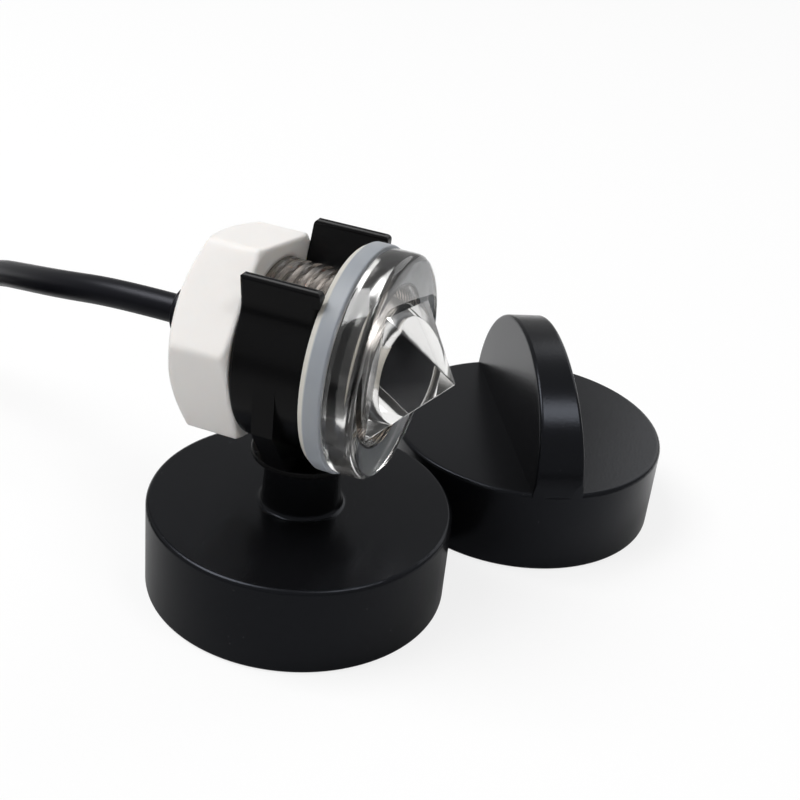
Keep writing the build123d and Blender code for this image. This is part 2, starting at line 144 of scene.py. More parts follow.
def makeCable():
    steps = int(cable["quarters"] * cable["pointsPerTurn"] / 4)
    turns = [coilPoint((step + 0.5) * 4 / cable["pointsPerTurn"]) for step in range(steps)]
    points = cable["leadRoute"] + turns + cable["tailRoute"]
    curve = bpy.data.curves.new("signal_cable", "CURVE")
    curve.dimensions = "3D"
    spline = curve.splines.new("NURBS")
    spline.points.add(len(points) - 1)
    for target, point in zip(spline.points, points):
        target.co = (*(Vector(point) * mm), 1.0)
        target.radius = cable["radius"] * mm
    spline.order_u = 3
    spline.use_endpoint_u = True
    spline.resolution_u = cable["smoothness"]
    curve.bevel_depth = 1.0
    curve.bevel_resolution = cable["smoothness"]
    curve.use_fill_caps = True
    piece = bpy.data.objects.new("signal_cable", curve)
    bpy.context.scene.collection.objects.link(piece)
    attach(piece, "inner_holder")
    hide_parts("cable_lead", "cable_coil", "cable_tail")
    return piece


signalCable = makeCable()
print("camera and cable made")


# steps that several pieces share
turning = {
    "cornerSegments": 4,
    "weld": 0.002,  # mm
}


def editMesh():
    bpy.ops.object.mode_set(mode="EDIT")
    bpy.ops.mesh.select_mode(type="VERT")
    bpy.ops.mesh.select_all(action="DESELECT")
    return bmesh.from_edit_mesh(bpy.context.object.data)


def addPrimitive(adder, name, **settings):
    bpy.ops.object.select_all(action="DESELECT")
    adder(**settings)
    piece = bpy.context.object
    piece.name = name
    return piece


def atOrigin(piece):
    # the object goes to the origin and its place goes into the mesh
    bpy.ops.object.mode_set(mode="OBJECT")
    bpy.ops.object.select_all(action="DESELECT")
    piece.select_set(True)
    bpy.context.view_layer.objects.active = piece
    bpy.ops.object.transform_apply(location=True, rotation=True, scale=True)


def drawnLine(name, start, path):
    # a plane merged to one corner, which is then extruded from point to point
    piece = addPrimitive(
        bpy.ops.mesh.primitive_plane_add, name, size=mm, location=Vector(start) * mm,
    )
    atOrigin(piece)
    editMesh()
    bpy.ops.mesh.select_all(action="SELECT")
    bpy.ops.mesh.merge(type="CENTER")
    for before, after in zip(path, path[1:]):
        step = Vector((after[0] - before[0], 0, after[1] - before[1])) * mm
        bpy.ops.mesh.extrude_region_move(TRANSFORM_OT_translate={"value": step})
    return piece


def turnedPiece(name, profile, rounds, steps):
    # the outline's round corners are bevelled, and it is spun about the sensor's axis
    station, radius = profile[0]
    piece = drawnLine(name, (station, 0, sensorAxis + radius), profile)
    for station, radius, roundness in rounds:
        bpy.ops.mesh.select_all(action="DESELECT")
        place = Vector((station, 0, sensorAxis + radius)) * mm
        mesh = bmesh.from_edit_mesh(piece.data)
        corner = min(mesh.verts, key=lambda vertex: (vertex.co - place).length)
        corner.select = True
        mesh.select_flush_mode()
        bmesh.update_edit_mesh(piece.data)
        bpy.ops.mesh.bevel(
            offset=roundness * mm, segments=turning["cornerSegments"], affect="VERTICES",
        )
    bpy.ops.mesh.select_all(action="SELECT")
    bpy.ops.mesh.spin(
        steps=steps, angle=2 * math.pi, center=(0, 0, sensorAxis * mm), axis=(1, 0, 0),
    )
    bpy.ops.mesh.select_all(action="SELECT")
    bpy.ops.mesh.remove_doubles(threshold=turning["weld"] * mm)
    bpy.ops.mesh.normals_make_consistent(inside=False)
    bpy.ops.object.mode_set(mode="OBJECT")
    return piece


# the clear sensor body, in mm: threaded shank, flange and the square prism on its face
sensorBody = {
    "shankEnd": -13.2,
    "shankRound": 0.8,
    "flangeBack": 7.5,
    "flangeFront": 11.3,
    "boreRadius": 8.0,
    "boreEnd": 8.8,
    "noseRadius": 6.1,
    "noseEnd": 11.1,  # air stays between this end and the insert's nose, so it works as a mirror
    "threadRadius": 10.0,
    "threadDepth": 0.50,
    "threadPitch": 1.5,
    "threadStart": -12.9,
    "threadFinish": 6.9,
    "threadLead": 0.9,  # the last groove gets shallower over this length
    "grooveShare": 0.42,  # of half a pitch
    "grooveCurve": 1.5,
    "ringsPerPitch": 12,
    "wallSearch": 1.0,  # the thread is cut into what lies this close inside its crest
    "stationSearch": 0.3,  # and this close past its end
    "flangeRadius": 14.0,
    "flangeRound": 0.9,
    "flangeBackRound": 0.4,
    "prismSide": 15.0,
    "prismCorner": 32.0,  # angle from level to the foot's first corner
    "prismEdge": 0.12,
    "prismEdgeSegments": 2,
    "steps": 128,
    "smoothAngle": 30.0,
    "near": 0.01,  # within this reach a point counts as being at a place
    "onFace": 0.001,
    "facing": 0.99,
}


def threadProfile(turn):
    # height of the thread at a share of its pitch: a broad flat crest and a narrow round groove
    share = abs(turn % 1.0 - 0.5) * 2
    return min(1.0, share / sensorBody["grooveShare"]) ** sensorBody["grooveCurve"]


def cutThread(piece):
    body = sensorBody
    lowest = body["threadRadius"] - body["wallSearch"]
    highest = body["threadRadius"] + body["near"]
    last = body["threadFinish"] + body["stationSearch"]
    for vertex in piece.data.vertices:
        station = vertex.co.x / mm
        y, z = vertex.co.y / mm, vertex.co.z / mm - sensorAxis
        radius = math.hypot(y, z)
        if radius < lowest or radius > highest or station > last:
            continue
        turn = station / body["threadPitch"] + math.atan2(z, y) / (2 * math.pi)
        fade = min(1.0, max(0.0, (body["threadFinish"] - station) / body["threadLead"]))
        depth = body["threadDepth"] * fade * (1 - threadProfile(turn))
        scale = (radius - depth) / radius
        vertex.co.y = y * scale * mm
        vertex.co.z = (z * scale + sensorAxis) * mm


def makeSensorBody():
    body = sensorBody
    spacing = body["threadPitch"] / body["ringsPerPitch"]
    rings = round((body["threadFinish"] - body["threadStart"]) / spacing)
    shank = [
        (body["threadStart"] + spacing * ring, body["threadRadius"])
        for ring in range(rings, -1, -1)
    ]
    profile = [
        (body["flangeFront"], 0.0),
        (body["flangeFront"], body["flangeRadius"]),
        (body["flangeBack"], body["flangeRadius"]),
        (body["flangeBack"], body["threadRadius"]),
        *shank,
        (body["shankEnd"], body["threadRadius"] - body["shankRound"]),
        (body["shankEnd"], body["boreRadius"]),
        (body["boreEnd"], body["boreRadius"]),
        (body["boreEnd"], body["noseRadius"]),
        (body["noseEnd"], body["noseRadius"]),
        (body["noseEnd"], 0.0),
    ]
    rounds = [
        (body["flangeFront"], body["flangeRadius"], body["flangeRound"]),
        (body["flangeBack"], body["flangeRadius"], body["flangeBackRound"]),
    ]
    piece = turnedPiece("sensor_body_clear", profile, rounds, body["steps"])
    cutThread(piece)
    addPrism(piece)
    atOrigin(piece)
    mesh = editMesh()
    tip = (body["flangeFront"] + body["prismSide"] / 2 - body["near"]) * mm
    face = (body["flangeFront"] + body["near"]) * mm
    for edge in mesh.edges:
        top, foot = sorted(edge.verts, key=lambda vertex: -vertex.co.x)
        edge.select = top.co.x > tip and foot.co.x < face
    bmesh.update_edit_mesh(piece.data)
    bpy.ops.mesh.bevel(
        offset=body["prismEdge"] * mm, segments=body["prismEdgeSegments"], affect="EDGES",
    )
    bpy.ops.mesh.select_all(action="SELECT")
    bpy.ops.mesh.normals_make_consistent(inside=False)
    bpy.ops.object.mode_set(mode="OBJECT")
    bpy.ops.object.shade_smooth_by_angle(angle=math.radians(body["smoothAngle"]))
    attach(piece, "sensor")
    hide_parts("sensor_body")
    return piece


def cornerAngle(cone, place):
    corner = next(vertex.co for vertex in cone.data.vertices if vertex.co.x < place.x)
    return math.degrees(math.atan2(corner.z - place.z, corner.y))


def addPrism(piece):
    # a four-sided cone stands on the flange's face, and one flat face joins the two outlines
    body = sensorBody
    faceStation = body["flangeFront"] * mm
    editMesh()
    bpy.ops.mesh.select_mode(type="FACE")
    mesh = bmesh.from_edit_mesh(piece.data)
    for face in mesh.faces:
        inFront = abs(face.calc_center_median().x - faceStation) < body["onFace"] * mm
        face.select = inFront and abs(face.normal.x) > body["facing"]
    bmesh.update_edit_mesh(piece.data)
    bpy.ops.mesh.delete(type="FACE")
    bpy.ops.object.mode_set(mode="OBJECT")
    height = body["prismSide"] / 2
    place = Vector((body["flangeFront"] + height / 2, 0, sensorAxis)) * mm
    cone = addPrimitive(
        bpy.ops.mesh.primitive_cone_add, "prism", vertices=4, radius1=height * math.sqrt(2) * mm,
        depth=height * mm, end_fill_type="NOTHING", location=place, rotation=(0, math.pi / 2, 0),
    )
    atOrigin(cone)
    turn = math.radians(body["prismCorner"] - cornerAngle(cone, place))
    editMesh()
    bpy.ops.mesh.select_all(action="SELECT")
    bpy.ops.transform.rotate(value=-turn, orient_axis="X", center_override=place)
    bpy.ops.object.mode_set(mode="OBJECT")
    print("prism corner at", round(cornerAngle(cone, place), 2))
    bpy.ops.object.select_all(action="DESELECT")
    cone.select_set(True)
    piece.select_set(True)
    bpy.context.view_layer.objects.active = piece
    bpy.ops.object.join()
    mesh = editMesh()
    for edge in mesh.edges:
        inFront = abs(edge.verts[0].co.x - faceStation) < body["onFace"] * mm
        edge.select = edge.is_boundary and inFront
    bmesh.update_edit_mesh(piece.data)
    bpy.ops.mesh.fill(use_beauty=True)
    bpy.ops.object.mode_set(mode="OBJECT")


clearBody = makeSensorBody()
print("sensor body made")


# the strap round the coil, in mm: one turn, its end lying over its start on top of the bundle
cableTie = {
    "angle": 300.0,
    "innerFace": 10.17,  # from the coil's centre to the bundle's inner face
    "outerFace": 27.25,
    "underside": 0.6,
    "top": 17.75,
    "bellyHeight": 8.6,  # where the bundle is widest
    "topInset": 2.2,
    "footInset": 1.8,
    "startShift": 1.0,  # from the bundle's middle to where the strap starts
    "shoulderRise": 0.3,
    "lapShift": 4.0,  # from there back to where the end lies over the start
    "lapGap": 0.03,
    "width": 7.0,
    "widthSteps": 8,
    "thickness": 0.55,
    "corner": 2.2,
    "cornerSegments": 6,
    "overlap": 7.5,
    "edge": 0.12,
    "edgeSegments": 2,
    "smoothAngle": 35.0,
}


def makeCableTie():
    tie = cableTie
    gap = tie["thickness"] / 2
    inner, outer = tie["innerFace"] - gap, tie["outerFace"] + gap
    low, top = tie["underside"] - gap, tie["top"] + gap
    start = (inner + outer) / 2 + tie["startShift"]
    lap = start - tie["lapShift"]
    over = top + tie["thickness"] + tie["lapGap"]
    path = [
        (start, top),
        (outer - tie["topInset"], top),
        (outer, tie["bellyHeight"]),
        (outer - tie["footInset"], low),
        (inner, low),
        (inner, top + tie["shoulderRise"]),
        (lap, over),
        (lap + tie["overlap"], over),
    ]
    x, y = cable["coilCentre"]
    piece = drawnLine("cable_tie_strap", (x + start, y, top), path)
    mesh = bmesh.from_edit_mesh(piece.data)
    for vertex in mesh.verts:
        vertex.select = len(vertex.link_edges) == 2
    mesh.select_flush_mode()
    bmesh.update_edit_mesh(piece.data)
    bpy.ops.mesh.bevel(
        offset=tie["corner"] * mm, segments=tie["cornerSegments"], affect="VERTICES",
    )
    bpy.ops.mesh.select_all(action="SELECT")
    bpy.ops.transform.translate(value=(0, -tie["width"] / 2 * mm, 0))
    for strip in range(tie["widthSteps"]):
        bpy.ops.mesh.extrude_region_move(
            TRANSFORM_OT_translate={"value": (0, tie["width"] / tie["widthSteps"] * mm, 0)},
        )
    bpy.ops.mesh.select_all(action="SELECT")
    turn = math.radians(tie["angle"])
    bpy.ops.transform.rotate(value=-turn, orient_axis="Z", center_override=(x * mm, y * mm, 0))
    bpy.ops.mesh.normals_make_consistent(inside=False)
    bpy.ops.object.mode_set(mode="OBJECT")
    wall = piece.modifiers.new("wall", "SOLIDIFY")
    wall.thickness = tie["thickness"] * mm
    wall.offset = 0
    edge = piece.modifiers.new("edge", "BEVEL")
    edge.width = tie["edge"] * mm
    edge.segments = tie["edgeSegments"]
    for modifier in ("wall", "edge"):
        bpy.ops.object.modifier_apply(modifier=modifier)
    bpy.ops.object.shade_smooth_by_angle(angle=math.radians(tie["smoothAngle"]))
    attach(piece, "inner_holder")
    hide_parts("cable_tie")
    return piece


coilStrap = makeCableTie()
print("cable tie made")


# nodes that the finishes and the room are built from
def newGroup(name, inputs, outputs):
    group = bpy.data.node_groups.new(name, "ShaderNodeTree")
    for label, kind, value in inputs:
        socket = group.interface.new_socket(label, in_out="INPUT", socket_type=kind)
        if value is not None:
            socket.default_value = value
    for label, kind in outputs:
        group.interface.new_socket(label, in_out="OUTPUT", socket_type=kind)
    return group, group.nodes.new("NodeGroupInput"), group.nodes.new("NodeGroupOutput")


def mathNode(tree, operation, first, second, clamp=False):
    node = tree.nodes.new("ShaderNodeMath")
    node.operation = operation
    node.use_clamp = clamp
    for socket, value in zip(node.inputs, (first, second)):
        if isinstance(value, (int, float)):
            socket.default_value = value
        else:
            tree.links.new(value, socket)
    return node.outputs[0]


def rampNode(tree, value, start, end, low=0.0, high=1.0, kind="LINEAR"):
    # low at the start and high at the end, and level beyond them
    ramp = tree.nodes.new("ShaderNodeMapRange")
    ramp.interpolation_type = kind
    limits = {"From Min": start, "From Max": end, "To Min": low, "To Max": high}
    for label, number in limits.items():
        ramp.inputs[label].default_value = number
    tree.links.new(value, ramp.inputs["Value"])
    return ramp.outputs["Result"]


def axesOf(tree, vector):
    apart = tree.nodes.new("ShaderNodeSeparateXYZ")
    tree.links.new(vector, apart.inputs["Vector"])
    return apart.outputs


def mixColours(tree, mask, first, second):
    # either colour may be a plain one or come from another node
    mix = tree.nodes.new("ShaderNodeMix")
    mix.data_type = "RGBA"
    for label, colour in (("A", first), ("B", second)):
        if isinstance(colour, tuple):
            mix.inputs[label].default_value = (*colour, 1)
        else:
            tree.links.new(colour, mix.inputs[label])
    tree.links.new(mask, mix.inputs["Factor"])
    return mix.outputs["Result"]


def noiseNode(tree, vector, scale, detail):
    node = tree.nodes.new("ShaderNodeTexNoise")
    node.inputs["Detail"].default_value = detail
    tree.links.new(vector, node.inputs["Vector"])
    if isinstance(scale, (int, float)):
        node.inputs["Scale"].default_value = scale
    else:
        tree.links.new(scale, node.inputs["Scale"])
    return node.outputs["Fac"]


# spark-eroded grain of a mould, shared by the moulded plastics
grain = {
    "scale": 3000.0,
    "roughness": 0.4,
    "variation": 0.08,
    "fineDetail": 3.0,
    "slowShare": 0.02,  # of the fine grain's scale
    "slowDetail": 2.0,
    "waveHeight": 2.0,
}


def mouldGrainGroup():
    # fine grain, with a slower waviness and patches of a different gloss
    group, entry, leave = newGroup(
        "mouldGrain",
        [
            ("Vector", "NodeSocketVector", None),
            ("Grain Scale", "NodeSocketFloat", grain["scale"]),
            ("Roughness", "NodeSocketFloat", grain["roughness"]),
            ("Variation", "NodeSocketFloat", grain["variation"]),
        ],
        [
            ("Roughness", "NodeSocketFloat"),
            ("Height", "NodeSocketFloat"),
            ("Patches", "NodeSocketFloat"),
        ],
    )
    vector, scale = entry.outputs["Vector"], entry.outputs["Grain Scale"]
    fine = noiseNode(group, vector, scale, grain["fineDetail"])
    slowScale = mathNode(group, "MULTIPLY", scale, grain["slowShare"])
    slow = noiseNode(group, vector, slowScale, grain["slowDetail"])
    centred = mathNode(group, "SUBTRACT", slow, 0.5)
    swing = mathNode(group, "MULTIPLY", centred, entry.outputs["Variation"])
    roughness = mathNode(group, "ADD", entry.outputs["Roughness"], swing, True)
    waves = mathNode(group, "MULTIPLY", slow, grain["waveHeight"])
    group.links.new(roughness, leave.inputs["Roughness"])
    group.links.new(mathNode(group, "ADD", fine, waves), leave.inputs["Height"])
    group.links.new(slow, leave.inputs["Patches"])
    return group


# dust on the black mouldings
dust = {
    "scale": 900.0,
    "amount": 0.05,
    "driftScale": 120.0,
    "driftDetail": 1.0,
    "driftAbove": 0.56,
    "colour": (0.12, 0.12, 0.12),
}


def specksGroup():
    # sparse pale specks, only where a slow noise lets them settle
    group, entry, leave = newGroup(
        "dustSpecks",
        [
            ("Vector", "NodeSocketVector", None),
            ("Scale", "NodeSocketFloat", dust["scale"]),
            ("Amount", "NodeSocketFloat", dust["amount"]),
        ],
        [("Mask", "NodeSocketFloat")],
    )
    cells = group.nodes.new("ShaderNodeTexVoronoi")
    group.links.new(entry.outputs["Vector"], cells.inputs["Vector"])
    group.links.new(entry.outputs["Scale"], cells.inputs["Scale"])
    near = mathNode(group, "LESS_THAN", cells.outputs["Distance"], entry.outputs["Amount"])
    drift = noiseNode(group, entry.outputs["Vector"], dust["driftScale"], dust["driftDetail"])
    some = mathNode(group, "GREATER_THAN", drift, dust["driftAbove"])
    group.links.new(mathNode(group, "MULTIPLY", near, some), leave.inputs["Mask"])
    return group


mouldGrain = mouldGrainGroup()
dustSpecks = specksGroup()


def newMaterial(name):
    material = bpy.data.materials.new(name)
    material.use_nodes = True
    tree = material.node_tree
    shader = tree.nodes["Principled BSDF"]
    place = tree.nodes.new("ShaderNodeTexCoord").outputs["Object"]
    return material, tree, shader, place


def placeGroup(tree, group, vector, values):
    node = tree.nodes.new("ShaderNodeGroup")
    node.node_tree = group
    tree.links.new(vector, node.inputs["Vector"])
    for name, value in values.items():
        node.inputs[name].default_value = value
    return node


softEdgeSamples = 6


def bumpFrom(tree, shader, height, strength, depth, softEdge=0.0):
    # depth and softEdge, which rounds the edges in the shading, are in mm
    bump = tree.nodes.new("ShaderNodeBump")
    if softEdge:
        rounded = tree.nodes.new("ShaderNodeBevel")
        rounded.samples = softEdgeSamples
        rounded.inputs["Radius"].default_value = softEdge * mm
        tree.links.new(rounded.outputs["Normal"], bump.inputs["Normal"])
    bump.inputs["Strength"].default_value = strength
    bump.inputs["Distance"].default_value = depth * mm
    tree.links.new(height, bump.inputs["Height"])
    tree.links.new(bump.outputs["Normal"], shader.inputs["Normal"])


# finishes of the moulded plastics, depths and edges in mm
plasticFinishes = {
    "satinBlackAbs": {
        "colour": (0.0030, 0.0031, 0.0036),
        "otherColour": (0.0048, 0.0049, 0.0056),
        "roughness": 0.24,
        "variation": 0.10,
        "grainScale": 2600.0,
        "bump": 0.6,
        "bumpDepth": 0.02,
        "specular": 0.22,
        "dust": 0.045,
        "tint": (0.80, 0.86, 1.0),
    },
    "smoothBlackNylon": {
        "colour": (0.0026, 0.0026, 0.0030),
        "otherColour": (0.0042, 0.0042, 0.0044),
        "roughness": 0.28,
        "variation": 0.12,
        "grainScale": 1500.0,
        "bump": 0.12,
        "bumpDepth": 0.02,
        "specular": 0.16,
    },
    "whiteNylon": {
        "colour": (0.80, 0.775, 0.75),
        "otherColour": (0.84, 0.82, 0.80),
        "roughness": 0.45,
        "variation": 0.10,
        "grainScale": 1200.0,
        "bump": 0.10,
        "bumpDepth": 0.03,
        "specular": 0.4,
        "translucence": 0.3,
        "spread": (1.0, 0.85, 0.75),
        "depth": 1.2,
        "softEdge": 0.9,
    },
    "softBlackPvc": {
        "colour": (0.0032, 0.0034, 0.0048),
        "otherColour": (0.005, 0.005, 0.007),
        "roughness": 0.34,
        "variation": 0.14,
        "grainScale": 1800.0,
        "bump": 0.15,
        "bumpDepth": 0.03,
        "specular": 0.20,
        "tint": (0.86, 0.88, 1.0),
    },
}


def mouldedPlastic(name, finish):
    material, tree, shader, place = newMaterial(name)
    moulded = placeGroup(tree, mouldGrain, place, {
        "Grain Scale": finish["grainScale"],
        "Roughness": finish["roughness"],
        "Variation": finish["variation"],
    }).outputs
    tree.links.new(moulded["Roughness"], shader.inputs["Roughness"])
    colour = mixColours(tree, moulded["Patches"], finish["colour"], finish["otherColour"])
    if "dust" in finish:
        specks = placeGroup(tree, dustSpecks, place, {"Amount": finish["dust"]})
        colour = mixColours(tree, specks.outputs["Mask"], colour, dust["colour"])
    tree.links.new(colour, shader.inputs["Base Color"])
    shader.inputs["Specular IOR Level"].default_value = finish["specular"]
    if "tint" in finish:
        shader.inputs["Specular Tint"].default_value = (*finish["tint"], 1)
    if "translucence" in finish:
        shader.inputs["Subsurface Weight"].default_value = finish["translucence"]
        shader.inputs["Subsurface Radius"].default_value = finish["spread"]
        shader.inputs["Subsurface Scale"].default_value = finish["depth"] * mm
    bumpFrom(
        tree, shader, moulded["Height"], finish["bump"], finish["bumpDepth"],
        finish.get("softEdge", 0.0),
    )
    return material


plastics = {
    name: mouldedPlastic(name, finish) for name, finish in plasticFinishes.items()
}


def alongSensor(tree, place, stations):
    # stations are two places along the sensor's axis, in mm: 0 at the first and 1 at the second
    begin, full = stations
    return rampNode(tree, axesOf(tree, place)["X"], begin * mm, full * mm)


# the clear body: polished prism and face, a duller wavy rim, and a threaded shank with painted
# shade in its grooves
clearFinish = {
    "colour": (0.975, 0.97, 0.955),
    "crest": (0.95, 0.86, 0.78),
    "groove": (0.16, 0.13, 0.11),
    "grooveShare": (0.14, 0.04),  # of a pitch, from the groove's middle
    "shank": (7.3, 6.9),
    "shankHaze": 0.11,
    "rim": (11.15, 10.95),
    "rimHaze": 0.11,
    "refraction": 1.6,
    "rippleScale": 60.0,
    "waveScale": 300.0,
    "detail": 1.0,
    "bump": 0.2,
    "bumpDepth": 0.05,
}


def grooveShadeMask(tree, place):
    # 1 along the bottom of the thread's groove, where a darker colour paints the groove's shade,
    # and 0 on its crest
    axes = axesOf(tree, place)
    height = mathNode(tree, "SUBTRACT", axes["Z"], sensorAxis * mm)
    angle = mathNode(tree, "ARCTAN2", height, axes["Y"])
    around = mathNode(tree, "DIVIDE", angle, 2 * math.pi)
    along = mathNode(tree, "DIVIDE", axes["X"], sensorBody["threadPitch"] * mm)
    share = mathNode(tree, "FRACT", mathNode(tree, "ADD", around, along), 0.0)
    offset = mathNode(tree, "ABSOLUTE", mathNode(tree, "SUBTRACT", share, 0.5), 0.0)
    return rampNode(tree, offset, *clearFinish["grooveShare"], kind="SMOOTHSTEP")


def clearPolymer():
    finish = clearFinish
    material, tree, shader, place = newMaterial("clearPolysulfone")
    shank = alongSensor(tree, place, finish["shank"])
    rim = alongSensor(tree, place, finish["rim"])
    # painted shade: the groove colour darkens the bottom of each thread groove, as shade would
    thread = mixColours(tree, grooveShadeMask(tree, place), finish["crest"], finish["groove"])
    tree.links.new(mixColours(tree, shank, finish["colour"], thread), shader.inputs["Base Color"])
    rimHaze = mathNode(tree, "MULTIPLY", rim, finish["rimHaze"])
    shankHaze = mathNode(tree, "MULTIPLY", shank, finish["shankHaze"])
    tree.links.new(mathNode(tree, "ADD", rimHaze, shankHaze), shader.inputs["Roughness"])
    shader.inputs["IOR"].default_value = finish["refraction"]
    shader.inputs["Transmission Weight"].default_value = 1.0
    ripple = noiseNode(tree, place, finish["rippleScale"], finish["detail"])
    wave = noiseNode(tree, place, finish["waveScale"], finish["detail"])
    height = mathNode(tree, "ADD", ripple, mathNode(tree, "MULTIPLY", rim, wave))
    bumpFrom(tree, shader, height, finish["bump"], finish["bumpDepth"])
    return material


# the gasket: milky silicone, with painted light on its back edge, which is lighter and warmer
# towards the lit white nut
siliconeFinish = {
    "colour": (0.28, 0.300, 0.33),
    "otherColour": (0.35, 0.370, 0.395),
    "paintedLightColour": (0.62, 0.60, 0.55),
    "paintedLightEdge": (5.55, 5.25),
    "cloudScale": 180.0,
    "cloudDetail": 2.0,
    "roughness": 0.38,
    "refraction": 1.41,
    "translucence": 0.5,
    "spread": (0.9, 1.0, 1.15),
    "depth": 0.5,
    "bump": 0.1,
    "bumpDepth": 0.05,
}


def milkySilicone():
    finish = siliconeFinish
    material, tree, shader, place = newMaterial("milkySilicone")
    cloud = noiseNode(tree, place, finish["cloudScale"], finish["cloudDetail"])
    band = mixColours(tree, cloud, finish["colour"], finish["otherColour"])
    # painted light: the back edge gets a lighter, warmer colour, standing in for light from the
    # white nut beside it
    paintedLight = alongSensor(tree, place, finish["paintedLightEdge"])
    tree.links.new(mixColours(tree, paintedLight, band, finish["paintedLightColour"]), shader.inputs["Base Color"])
    shader.inputs["Roughness"].default_value = finish["roughness"]
    shader.inputs["IOR"].default_value = finish["refraction"]
    shader.inputs["Subsurface Weight"].default_value = finish["translucence"]
    shader.inputs["Subsurface Radius"].default_value = finish["spread"]
    shader.inputs["Subsurface Scale"].default_value = finish["depth"] * mm
    bumpFrom(tree, shader, cloud, finish["bump"], finish["bumpDepth"])
    return material


# the insert: black plastic that infrared passes, with a pale ring of glue along its nose
insertFinish = {
    "colour": (0.003, 0.003, 0.003),
    "otherColour": (0.005, 0.005, 0.005),
    "glue": (0.86, 0.84, 0.80),
    "otherGlue": (0.70, 0.63, 0.50),
    "behindGlue": (8.78, 8.72),
    "aheadOfGlue": (10.90, 10.96),
    "cloudScale": 260.0,
    "cloudDetail": 2.0,
    "roughness": 0.8,
    "specular": 0.0,
    "bump": 0.05,
    "bumpDepth": 0.02,
}


def gluedInsert():
    finish = insertFinish
    material, tree, shader, place = newMaterial("gluedInsert")
    cloud = noiseNode(tree, place, finish["cloudScale"], finish["cloudDetail"])
    black = mixColours(tree, cloud, finish["colour"], finish["otherColour"])
    glue = mixColours(tree, cloud, finish["glue"], finish["otherGlue"])
    behind = alongSensor(tree, place, finish["behindGlue"])
    ahead = alongSensor(tree, place, finish["aheadOfGlue"])
    bare = mathNode(tree, "ADD", behind, ahead, True)
    tree.links.new(mixColours(tree, bare, glue, black), shader.inputs["Base Color"])
    shader.inputs["Roughness"].default_value = finish["roughness"]
    shader.inputs["Specular IOR Level"].default_value = finish["specular"]
    bumpFrom(tree, shader, cloud, finish["bump"], finish["bumpDepth"])
    return material


# small parts: brushed or plated metal, and plain plastic with a faint cloud in its colour
metal = {"darker": 0.85, "detail": 3.0, "roughnessSwing": 0.2, "bump": 0.1, "bumpDepth": 0.01}
smallPlastic = {"darker": 0.75, "detail": 2.0, "bump": 0.1, "bumpDepth": 0.02}


def platedMetal(name, colour, roughness, streakScale):
    material, tree, shader, place = newMaterial(name)
    shader.inputs["Metallic"].default_value = 1.0
    streaks = noiseNode(tree, place, streakScale, metal["detail"])
    darker = tuple(metal["darker"] * channel for channel in colour)
    tree.links.new(mixColours(tree, streaks, darker, colour), shader.inputs["Base Color"])
    swing = mathNode(tree, "MULTIPLY", streaks, metal["roughnessSwing"])
    tree.links.new(mathNode(tree, "ADD", swing, roughness), shader.inputs["Roughness"])
    bumpFrom(tree, shader, streaks, metal["bump"], metal["bumpDepth"])
    return material


def tintedPlastic(name, colour, roughness, scale):
    material, tree, shader, place = newMaterial(name)
    cloud = noiseNode(tree, place, scale, smallPlastic["detail"])
    darker = tuple(smallPlastic["darker"] * channel for channel in colour)
    tree.links.new(mixColours(tree, cloud, darker, colour), shader.inputs["Base Color"])
    shader.inputs["Roughness"].default_value = roughness
    bumpFrom(tree, shader, cloud, smallPlastic["bump"], smallPlastic["bumpDepth"])
    return material


finishes = {
    "clear": clearPolymer(),
    "insert": gluedInsert(),
    "silicone": milkySilicone(),
    "nickel": platedMetal("nickelPlate", (0.66, 0.63, 0.58), 0.12, 900.0),
    "steel": platedMetal("stainlessSteel", (0.60, 0.60, 0.60), 0.22, 1500.0),
    "jackMetal": platedMetal("jackPlating", (0.74, 0.72, 0.68), 0.10, 1200.0),
    "lensBlue": tintedPlastic("blueEpoxy", (0.30, 0.42, 0.62), 0.08, 300.0),
    "lensDark": tintedPlastic("darkEpoxy", (0.02, 0.02, 0.025), 0.08, 300.0),
    "solderMask": tintedPlastic("greenSolderMask", (0.03, 0.16, 0.07), 0.25, 700.0),
    "chip": tintedPlastic("mouldedChip", (0.03, 0.03, 0.03), 0.5, 2000.0),
    "coreRed": tintedPlastic("redCore", (0.55, 0.03, 0.03), 0.3, 600.0),
    "coreBlack": tintedPlastic("blackCore", (0.02, 0.02, 0.02), 0.3, 600.0),
    "coreYellow": tintedPlastic("yellowCore", (0.75, 0.58, 0.04), 0.3, 600.0),
    "insulator": tintedPlastic("insulatorBlack", (0.02, 0.02, 0.02), 0.3, 900.0),
    "strap": tintedPlastic("wovenStrap", (0.02, 0.02, 0.02), 0.8, 2500.0),
}

